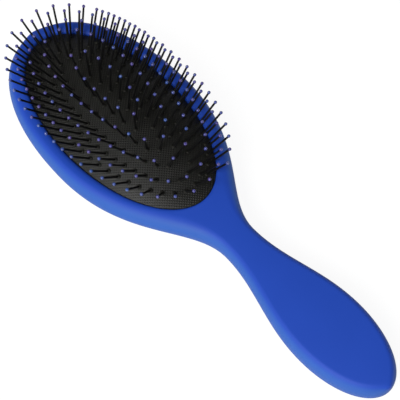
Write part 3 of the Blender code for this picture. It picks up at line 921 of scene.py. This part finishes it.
def white_floor(share):
    """White floor: to the camera, glossy and see-through rays mostly a plain white, which with a share
    of the real shading comes to 1 in the open and less in the object's shadow, and to all other rays a
    pale matte surface."""
    made, tree, shader = start_material("white_floor")
    shader.inputs["Base Color"].default_value = FLOOR_COLOUR
    shader.inputs["Roughness"].default_value = FLOOR_ROUGHNESS
    shader.inputs["Specular IOR Level"].default_value = 0.0
    strength = (1 - share * OPEN_FLOOR) / (1 - share)
    glow = add_node(tree, "ShaderNodeEmission", Color=(1, 1, 1, 1), Strength=strength)
    mix = tree.nodes.new("ShaderNodeMixShader")
    seen, mirrored = rays(tree)
    shown = mixed(tree, mirrored, seen, 1.0, "FLOAT")
    tree.links.new(spread(tree, shown, 0.0, 1 - share), mix.inputs["Fac"])
    tree.links.new(shader.outputs["BSDF"], mix.inputs[1])
    tree.links.new(glow.outputs["Emission"], mix.inputs[2])
    tree.links.new(mix.outputs["Shader"], tree.nodes["Material Output"].inputs["Surface"])
    return made


def rays(tree):
    """1 for camera rays, and 1 for glossy and transmission rays, as two outputs."""
    path = tree.nodes.new("ShaderNodeLightPath").outputs
    either = tree.nodes.new("ShaderNodeMath")
    either.operation = "MAXIMUM"
    tree.links.new(path["Is Glossy Ray"], either.inputs[0])
    tree.links.new(path["Is Transmission Ray"], either.inputs[1])
    return path["Is Camera Ray"], either.outputs[0]


def white_world(stage):
    """White surroundings: strength 1 where they are seen. From the horizon up they darken to a plain
    ceiling, one strength for their light and one for what glossy and see-through surfaces show."""
    world = bpy.data.worlds.new("white_surround")
    world.use_nodes = True
    tree = world.node_tree
    split = tree.nodes.new("ShaderNodeSeparateXYZ")
    tree.links.new(tree.nodes.new("ShaderNodeTexCoord").outputs["Generated"], split.inputs[0])
    low = falling(tree, split.outputs["Z"], HORIZON_FROM, HORIZON_TO)
    seen, mirrored = rays(tree)
    light = spread(tree, low, stage.ceiling, stage.horizon)
    gloss = spread(tree, low, stage.mirrored_ceiling, 1.0)
    light = mixed(tree, mirrored, light, gloss, "FLOAT")
    background = tree.nodes["Background"]
    background.inputs["Color"].default_value = (1, 1, 1, 1)
    tree.links.new(mixed(tree, seen, light, 1.0, "FLOAT"), background.inputs["Strength"])
    return world


class HAIRBRUSH_OT_body(bpy.types.Operator):
    """Make the paddle body with its rolled lip, groove and air chamber"""

    bl_idname = "hairbrush.body"
    bl_label = "Body"

    def execute(self, context):
        plan = Plan(context.scene)
        # pale holds each point's share of painted light on the shoulder
        points, faces, pale = paddle_surface(plan)
        finish = soft_touch_blue(plan.body.colour, plan.body.painted_light_colour)
        paddle = make_piece("paddle", points, faces, finish, values=pale)
        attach(paddle, "body")
        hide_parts("body")
        return {"FINISHED"}


class HAIRBRUSH_OT_cushion(bpy.types.Operator):
    """Make the domed rubber cushion and the bead that holds it in the body"""

    bl_idname = "hairbrush.cushion"
    bl_label = "Cushion"

    def execute(self, context):
        plan = Plan(context.scene)
        rubber = dotted_rubber(plan.cushion)
        cushion = make_piece("cushion", *cushion_surface(plan), rubber)
        bead = make_piece("cushion_bead", *bead_surface(plan), rubber)
        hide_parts("cushion_edge")
        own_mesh(cushion)
        for piece in (cushion, bead):
            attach(piece, "body")
        return {"FINISHED"}


class HAIRBRUSH_OT_pins(bpy.types.Operator):
    """Make the pins, their ball tips and the rubber bosses they stand in, ring by ring"""

    bl_idname = "hairbrush.pins"
    bl_label = "Pins and balls"

    def execute(self, context):
        plan, pins = Plan(context.scene), context.scene.brush_pins
        nylon = black_nylon(pins.colour)
        lacquer = ball_lacquer(pins.violet, pins.blue)
        rubber = plain_rubber(plan.cushion)
        for number, ring in enumerate(RINGS):
            name, feet = ring[0], ring_feet(plan, ring)
            if number == 0:
                feet = np.concatenate([feet, ring_feet(plan, SIDE_ROW)[SIDE_ROW_PINS]])
            axes = pin_axes(plan, feet)
            rods = turned_copies(feet, axes, shaft_profile(pins), pins.sides)
            shafts = make_piece(f"pins_of_{name}_ring", *rods, nylon)
            tips = turned_copies(feet, axes, ball_profile(pins), BALL_SIDES)
            tints = np.repeat(ball_tints(plan, feet, number), len(tips[0]) // len(feet))
            balls = make_piece(f"balls_of_{name}_ring", *tips, lacquer, sharp=180.0, values=tints)
            raised = turned_copies(feet, dome_axes(plan, feet), boss_profile(pins), BOSS_SIDES)
            bosses = make_piece(f"bosses_of_{name}_ring", *raised, rubber)
            nodes = [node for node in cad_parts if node.startswith(f"pins_{name}")]
            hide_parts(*nodes)
            for piece, slot in ((shafts, "pins"), (balls, "pins"), (bosses, "cushion")):
                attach(piece, f"band_{name}")
        return {"FINISHED"}


class HAIRBRUSH_OT_stage(bpy.types.Operator):
    """Make the white floor, the surroundings, the soft light and the camera"""

    bl_idname = "hairbrush.stage"
    bl_label = "Stage"

    def execute(self, context):
        scene, stage = context.scene, context.scene.brush_stage
        self.make_floor(scene, stage)
        self.make_light(scene, stage)
        self.make_camera(scene)
        scene.world = white_world(stage)
        scene.view_settings.view_transform = "Standard"
        return {"FINISHED"}

    @staticmethod
    def make_floor(scene, stage):
        """One square under the brush."""
        half = stage.floor_size / 2
        corners = ((-half, -half), (half, -half), (half, half), (-half, half))
        data = bpy.data.meshes.new("floor")
        data.from_pydata([(*corner, -FLOOR_GAP) for corner in corners], [], [(0, 1, 2, 3)])
        data.materials.append(white_floor(stage.shadow))
        floor = bpy.data.objects.new("floor", data)
        scene.collection.objects.link(floor)

    @staticmethod
    def make_light(scene, stage):
        """One large soft light that faces the brush."""
        lamp = bpy.data.lights.new("key", "AREA")
        lamp.shape = "DISK"
        lamp.size = stage.key_width
        lamp.energy = stage.key_power
        key = bpy.data.objects.new("key", lamp)
        level, azimuth = math.cos(stage.key_elevation), stage.key_azimuth
        direction = Vector(
            (level * math.cos(azimuth), level * math.sin(azimuth), math.sin(stage.key_elevation))
        )
        key.location = direction * stage.key_distance
        key.rotation_euler = direction.to_track_quat("Z", "Y").to_euler()
        scene.collection.objects.link(key)

    @staticmethod
    def make_camera(scene):
        """The camera of the view, from its place and the directions right and down in its picture."""
        lens = bpy.data.cameras.new("camera")
        lens.sensor_width = CAMERA_SENSOR
        lens.lens = CAMERA_LENS
        lens.clip_start = CAMERA_NEAR
        right, down = Vector(CAMERA_RIGHT), Vector(CAMERA_DOWN)
        camera = bpy.data.objects.new("camera", lens)
        turn = Matrix((right, -down, right.cross(-down))).transposed()
        camera.matrix_world = Matrix.Translation(CAMERA_PLACE) @ turn.to_4x4()
        scene.collection.objects.link(camera)
        scene.camera = camera


class HAIRBRUSH_PT_panel(bpy.types.Panel):
    """Sizes, colours and steps of the hair brush"""

    bl_label = "Hair brush"
    bl_idname = "HAIRBRUSH_PT_panel"
    bl_space_type = "VIEW_3D"
    bl_region_type = "UI"
    bl_category = "Hair brush"

    def draw(self, context):
        layout = self.layout
        for operator, group in STEPS:
            box = layout.box()
            settings = getattr(context.scene, group)
            for name in settings.__annotations__:
                box.prop(settings, name)
            box.operator(operator)


STEPS = (
    ("hairbrush.body", "brush_body"),
    ("hairbrush.cushion", "brush_cushion"),
    ("hairbrush.pins", "brush_pins"),
    ("hairbrush.stage", "brush_stage"),
)
GROUPS = {
    "brush_body": BodySizes,
    "brush_cushion": CushionSizes,
    "brush_pins": PinSizes,
    "brush_stage": StageSettings,
}
CLASSES = (
    *GROUPS.values(),
    HAIRBRUSH_OT_body,
    HAIRBRUSH_OT_cushion,
    HAIRBRUSH_OT_pins,
    HAIRBRUSH_OT_stage,
    HAIRBRUSH_PT_panel,
)


def register():
    """Make the classes and the scene's settings known to Blender."""
    for known in CLASSES:
        bpy.utils.register_class(known)
    for name, group in GROUPS.items():
        setattr(bpy.types.Scene, name, PointerProperty(type=group))


def unregister():
    """Take the settings and the classes out again."""
    for name in GROUPS:
        delattr(bpy.types.Scene, name)
    for known in reversed(CLASSES):
        bpy.utils.unregister_class(known)


def main():
    """Build the brush and its stage."""
    register()
    bpy.ops.hairbrush.body()
    bpy.ops.hairbrush.cushion()
    bpy.ops.hairbrush.pins()
    bpy.ops.hairbrush.stage()


if __name__ == "__main__":
    main()
